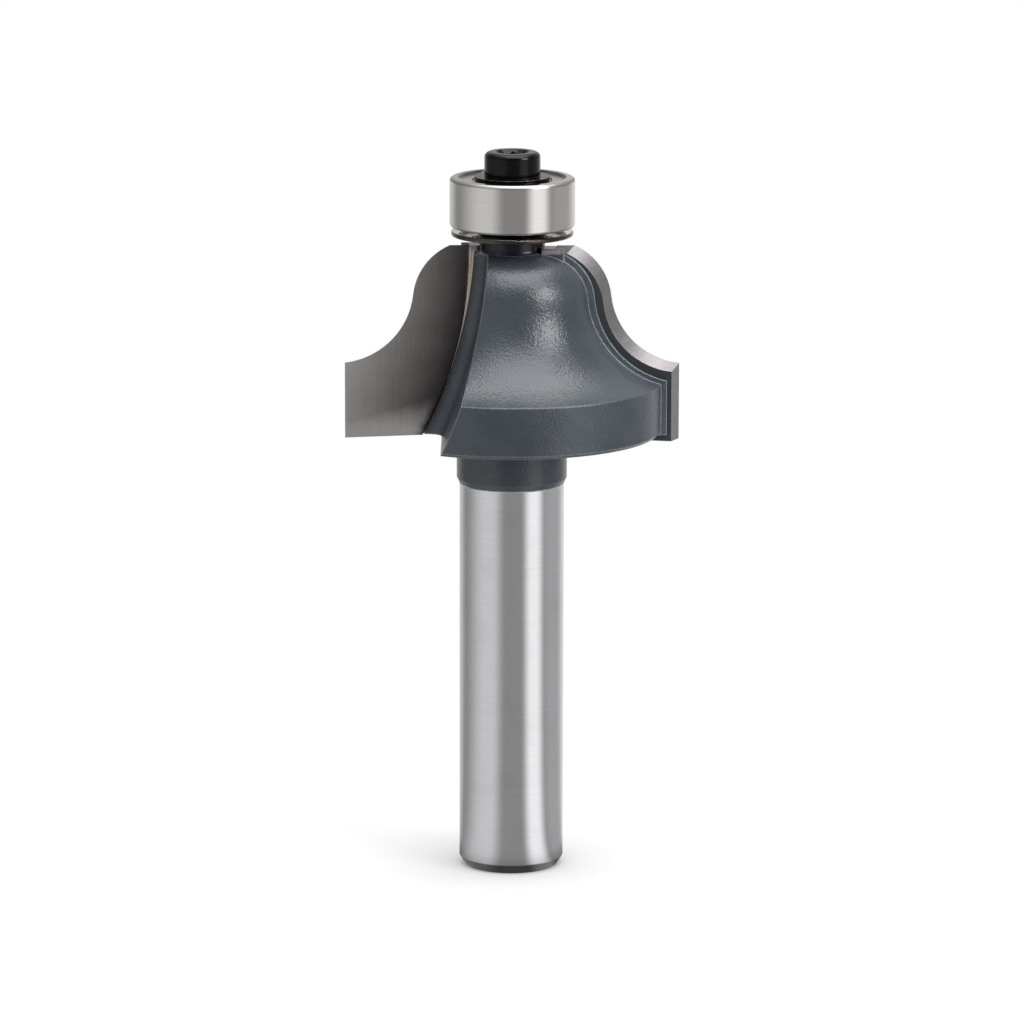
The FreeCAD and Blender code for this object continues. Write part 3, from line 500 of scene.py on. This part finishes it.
coated_body().give("cutter_body")
carbide().give("carbide_tip_1", "carbide_tip_2")
SOLDER = solder()
SOLDER.give("solder_layer_1", "solder_layer_2")
bearing_steel().give("bearing_outer_ring", "bearing_inner_ring")
polished_washer_painted_light().give("guard_washer")
shield_sheet().give("upper_shield", "lower_shield")
ball_steel().give(*BALLS)
cage_steel().give("ball_cage")
black_oxide().give("clamp_washer", "cap_screw", "spacer_ring")


# Pieces that the solids leave out: beads of solder. A bead lies across the
# carbide's thickness in even stations, each with a quarter turn of steps. It
# keeps its size nearly to its ends, a little uneven on the way.
BEAD_STATIONS = 13
BEAD_STEPS = 6
BEAD_END_SIZE = 0.04
BEAD_END_POWER = 8
BEAD_UNEVENNESS = 0.07
BEAD_HALF_SPAN = 0.48


def new_piece(name, vertices, faces, finish, body):
    """A mesh piece that rides on a body and takes a finish."""
    mesh = bpy.data.meshes.new(name)
    mesh.from_pydata([Vector(v) * MM for v in vertices], [], faces)
    mesh.validate()
    built = bmesh.new()
    built.from_mesh(mesh)
    bmesh.ops.recalc_face_normals(built, faces=built.faces)
    built.to_mesh(mesh)
    built.free()
    for polygon in mesh.polygons:
        polygon.use_smooth = True
    mesh.materials.append(finish.material)
    piece = bpy.data.objects.new(name, mesh)
    bpy.context.scene.collection.objects.link(piece)
    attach(piece, body)


def solder_bead(name, side, end, wide, high):
    """Bead of solder that closes one end of a seam.

    side is 1 or -1, for the two flutes, and end is the level of the seam's end.
    The bead hangs below it by high, or stands above it where high is negative.
    """
    drop = SEAM_CENTRE[1] - end
    edge = SEAM_CENTRE[0] - math.sqrt(SEAM_RADIUS ** 2 - drop ** 2)
    depth = -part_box("carbide_tip_1")[0].y / MM
    vertices = []
    for station in range(BEAD_STATIONS):
        along = 2 * station / (BEAD_STATIONS - 1) - 1
        swell = max(BEAD_END_SIZE, math.sqrt(1 - along ** BEAD_END_POWER))
        swell = swell * (1 + BEAD_UNEVENNESS * math.sin(5 * along + 1))
        y = -depth * (0.5 + BEAD_HALF_SPAN * along)
        ring = [(edge, end)]
        for step in range(BEAD_STEPS + 1):
            angle = 0.5 * math.pi * step / BEAD_STEPS
            ring.append((edge - wide * swell * math.sin(angle), end - high * swell * math.cos(angle)))
        for x, z in ring:
            vertices.append((side * x, side * y, z))
    width = BEAD_STEPS + 2
    faces = [tuple(range(width)), tuple(range(len(vertices) - width, len(vertices)))]
    for station in range(BEAD_STATIONS - 1):
        for step in range(width):
            low = station * width + step
            beside = station * width + (step + 1) % width
            faces.append((low, beside, beside + width, low + width))
    new_piece(name, vertices, faces, SOLDER, "bit")


for number, side in ((1, 1), (2, -1)):
    solder_bead(f"solder_bead_{number}", side, HEAD_FOOT, wide=0.22, high=0.27)
    solder_bead(f"solder_cap_{number}", side, SOLDER_TOP, wide=0.10, high=-0.12)


# The light tent that gloss sees. Its wall has a plain level, and panels add to
# it between angles round the bit, in degrees, with 0 at the front and 90 at the
# right. A panel rises over its first span and falls over its second.
WALL_LEVEL = 0.36
LEFT_SPANS = ((-120, -58), (-42, -13))
LEFT_LEVEL = 0.50
RIGHT_SPANS = ((21, 43), (56, 79))
RIGHT_LEVEL = 0.99
BESIDE_SPAN = (66, 92)
BESIDE_LEVEL = 0.16
REAR_SPAN = (118, 150)
REAR_LEVEL = 0.36

# By the height of a ray's direction: the wall dims above the horizon, and a
# bright top closes the tent.
HORIZON_SPAN = (-0.1, 0.08)
UPPER_WALL_SHARE = 0.7
TOP_SPAN = (0.62, 0.88)
TOP_LEVEL = 1.8

# What dull surfaces get from the world.
AMBIENT = 0.42

# The floor is lit near the bit, darker in its contact shadow, and plain white
# further away. In reflections it is darker under the bit.
FLOOR_REACH = 3000
FLOOR_TONE = (0.22, 0.22, 0.22, 1)
FLOOR_GLOW = 0.78
CONTACT_REACH = 10
CONTACT_POWER = 0.8
PLAIN_START = 30
PLAIN_END = 80
FOOT_SHADE = 0.42
FOOT_SHADE_START = 4
FOOT_SHADE_END = 10


def panel(graph, turn, rising, falling):
    """1 on a panel of the tent and 0 beside it, with soft sides."""
    return graph.calc("SUBTRACT", graph.rise(turn, *rising), graph.rise(turn, *falling))


def soft_panels(graph, x, y):
    """Brightness of the light tent's wall, by the angle round the bit from the front."""
    angle = graph.calc("ARCTAN2", x, graph.times(y, -1.0))
    turn = graph.times(angle, 180 / math.pi)
    left = panel(graph, turn, *LEFT_SPANS)
    right = panel(graph, turn, *RIGHT_SPANS)
    beside = graph.rise(turn, *BESIDE_SPAN)
    rear = graph.rise(graph.calc("ABSOLUTE", turn), *REAR_SPAN)
    wall = graph.calc("MULTIPLY_ADD", left, LEFT_LEVEL, WALL_LEVEL)
    wall = graph.calc("MULTIPLY_ADD", right, RIGHT_LEVEL, wall)
    wall = graph.calc("MULTIPLY_ADD", beside, BESIDE_LEVEL, wall)
    return graph.calc("MULTIPLY_ADD", rear, REAR_LEVEL, wall)


def seen_by_gloss(graph):
    """1 for the rays that a reflection or a clear body sends on."""
    glossy = graph.add("LightPath", out="Is Glossy Ray")
    through = graph.add("LightPath", out="Is Transmission Ray")
    return graph.calc("MAXIMUM", glossy, through)


def stage_floor():
    """Pale floor, white to the camera, that keeps the bit's shadow."""
    size = FLOOR_REACH * MM
    mesh = bpy.data.meshes.new("floor")
    corners = [(-size, -size, 0), (size, -size, 0), (size, size, 0), (-size, size, 0)]
    mesh.from_pydata(corners, [], [(0, 1, 2, 3)])
    floor = bpy.data.objects.new("floor", mesh)
    bpy.context.scene.collection.objects.link(floor)
    material = bpy.data.materials.new("pale_floor")
    material.use_nodes = True
    graph = Graph(material.node_tree)
    graph.tree.nodes.remove(graph.tree.nodes["Principled BSDF"])
    place = graph.add("TexCoord", out="Object")
    x, y = graph.parts(place)[:2]
    away = graph.measure("LENGTH", place)

    # Round the bit the floor is lit, and further away it is plain white.
    inputs = {"Distance": CONTACT_REACH * MM}
    open_share = graph.add("AmbientOcclusion", inputs, out="AO", samples=FLOOR_SAMPLES)
    contact = graph.calc("POWER", open_share, CONTACT_POWER)
    diffuse = graph.add("BsdfDiffuse", {"Color": FLOOR_TONE})
    glow = graph.add("Emission", {"Color": WHITE, "Strength": graph.times(contact, FLOOR_GLOW)})
    lit = graph.add("AddShader", {0: diffuse, 1: glow})
    white = graph.add("Emission", {"Color": WHITE, "Strength": 1.0})
    far = graph.rise(away, PLAIN_START * MM, PLAIN_END * MM)
    far = graph.times(far, graph.add("LightPath", out="Is Camera Ray"))
    to_camera = graph.add("MixShader", {0: far, 1: lit, 2: white})

    # Metal sees the tent's panels in it, and the dark patch under the bit.
    shade = graph.rise(away, FOOT_SHADE_START * MM, FOOT_SHADE_END * MM, start=FOOT_SHADE)
    strength = graph.times(soft_panels(graph, x, y), shade)
    mirrored = graph.add("Emission", {"Color": WHITE, "Strength": strength})
    surface = graph.add("MixShader", {0: seen_by_gloss(graph), 1: to_camera, 2: mirrored})
    graph.feed(graph.tree.nodes["Material Output"].inputs["Surface"], surface)
    mesh.materials.append(material)


def studio_world():
    """White to the camera, soft panels to gloss, a plain level to all else."""
    world = bpy.data.worlds.new("light_tent")
    bpy.context.scene.world = world
    world.use_nodes = True
    graph = Graph(world.node_tree)
    graph.tree.nodes.remove(graph.tree.nodes["Background"])
    x, y, height = graph.parts(graph.add("TexCoord", out="Generated"))
    dimmed = graph.fall(height, *HORIZON_SPAN, end=UPPER_WALL_SHARE)
    wall = graph.times(soft_panels(graph, x, y), dimmed)
    tent = graph.mix(graph.rise(height, *TOP_SPAN), wall, TOP_LEVEL)
    glossy = graph.add("Background", {"Color": WHITE, "Strength": tent})
    plain = graph.add("Background", {"Color": WHITE, "Strength": AMBIENT})
    white = graph.add("Background", {"Color": WHITE, "Strength": 1.0})
    lit = graph.add("MixShader", {0: seen_by_gloss(graph), 1: plain, 2: glossy})
    camera_ray = graph.add("LightPath", out="Is Camera Ray")
    surface = graph.add("MixShader", {0: camera_ray, 1: lit, 2: white})
    graph.feed(graph.tree.nodes["World Output"].inputs["Surface"], surface)


def area_light(name, place, target, width, height, power):
    """A soft box that looks at a target, in millimetres and watts."""
    light = bpy.data.lights.new(name, "AREA")
    light.shape = "RECTANGLE"
    light.size = width * MM
    light.size_y = height * MM
    light.energy = power
    lamp = bpy.data.objects.new(name, light)
    bpy.context.scene.collection.objects.link(lamp)
    place = Vector(place) * MM
    lamp.location = place
    lamp.rotation_euler = (Vector(target) * MM - place).to_track_quat("-Z", "Y").to_euler()


# The camera looks down a little at a point on the bit's axis.
AIM = Vector((0, 0, 27.7)) * MM
CAMERA_DISTANCE = 460 * MM
CAMERA_RISE = math.radians(11.96)
CAMERA_ROLL = math.radians(0.12)
CLIP_START = 10 * MM
CLIP_END = 20000 * MM
SENSOR = 36

# In pixels of the picture.
PICTURE = 1024
FOCAL_PIXELS = 6000
SHIFT_PIXELS = 0.3


def place_camera():
    """Camera at the photograph's angle."""
    data = bpy.data.cameras.new("camera")
    data.sensor_width = SENSOR
    data.lens = FOCAL_PIXELS * SENSOR / PICTURE
    data.shift_x = SHIFT_PIXELS / PICTURE
    data.clip_start = CLIP_START
    data.clip_end = CLIP_END
    camera = bpy.data.objects.new("camera", data)
    bpy.context.scene.collection.objects.link(camera)
    away = Vector((0, -math.cos(CAMERA_RISE), math.sin(CAMERA_RISE)))
    look = (-away).to_track_quat("-Z", "Y").to_matrix().to_4x4()
    roll = Matrix.Rotation(CAMERA_ROLL, 4, "Z")
    camera.matrix_world = Matrix.Translation(AIM + away * CAMERA_DISTANCE) @ look @ roll
    bpy.context.scene.camera = camera


stage_floor()
studio_world()
area_light("top_box", (50, -50, 330), target=(50, -50, 0), width=300, height=360, power=1.2)
area_light("right_box", (297, -208, 214), target=(0, 0, 42), width=180, height=180, power=1.05)
place_camera()
bpy.context.scene.view_settings.view_transform = "Standard"
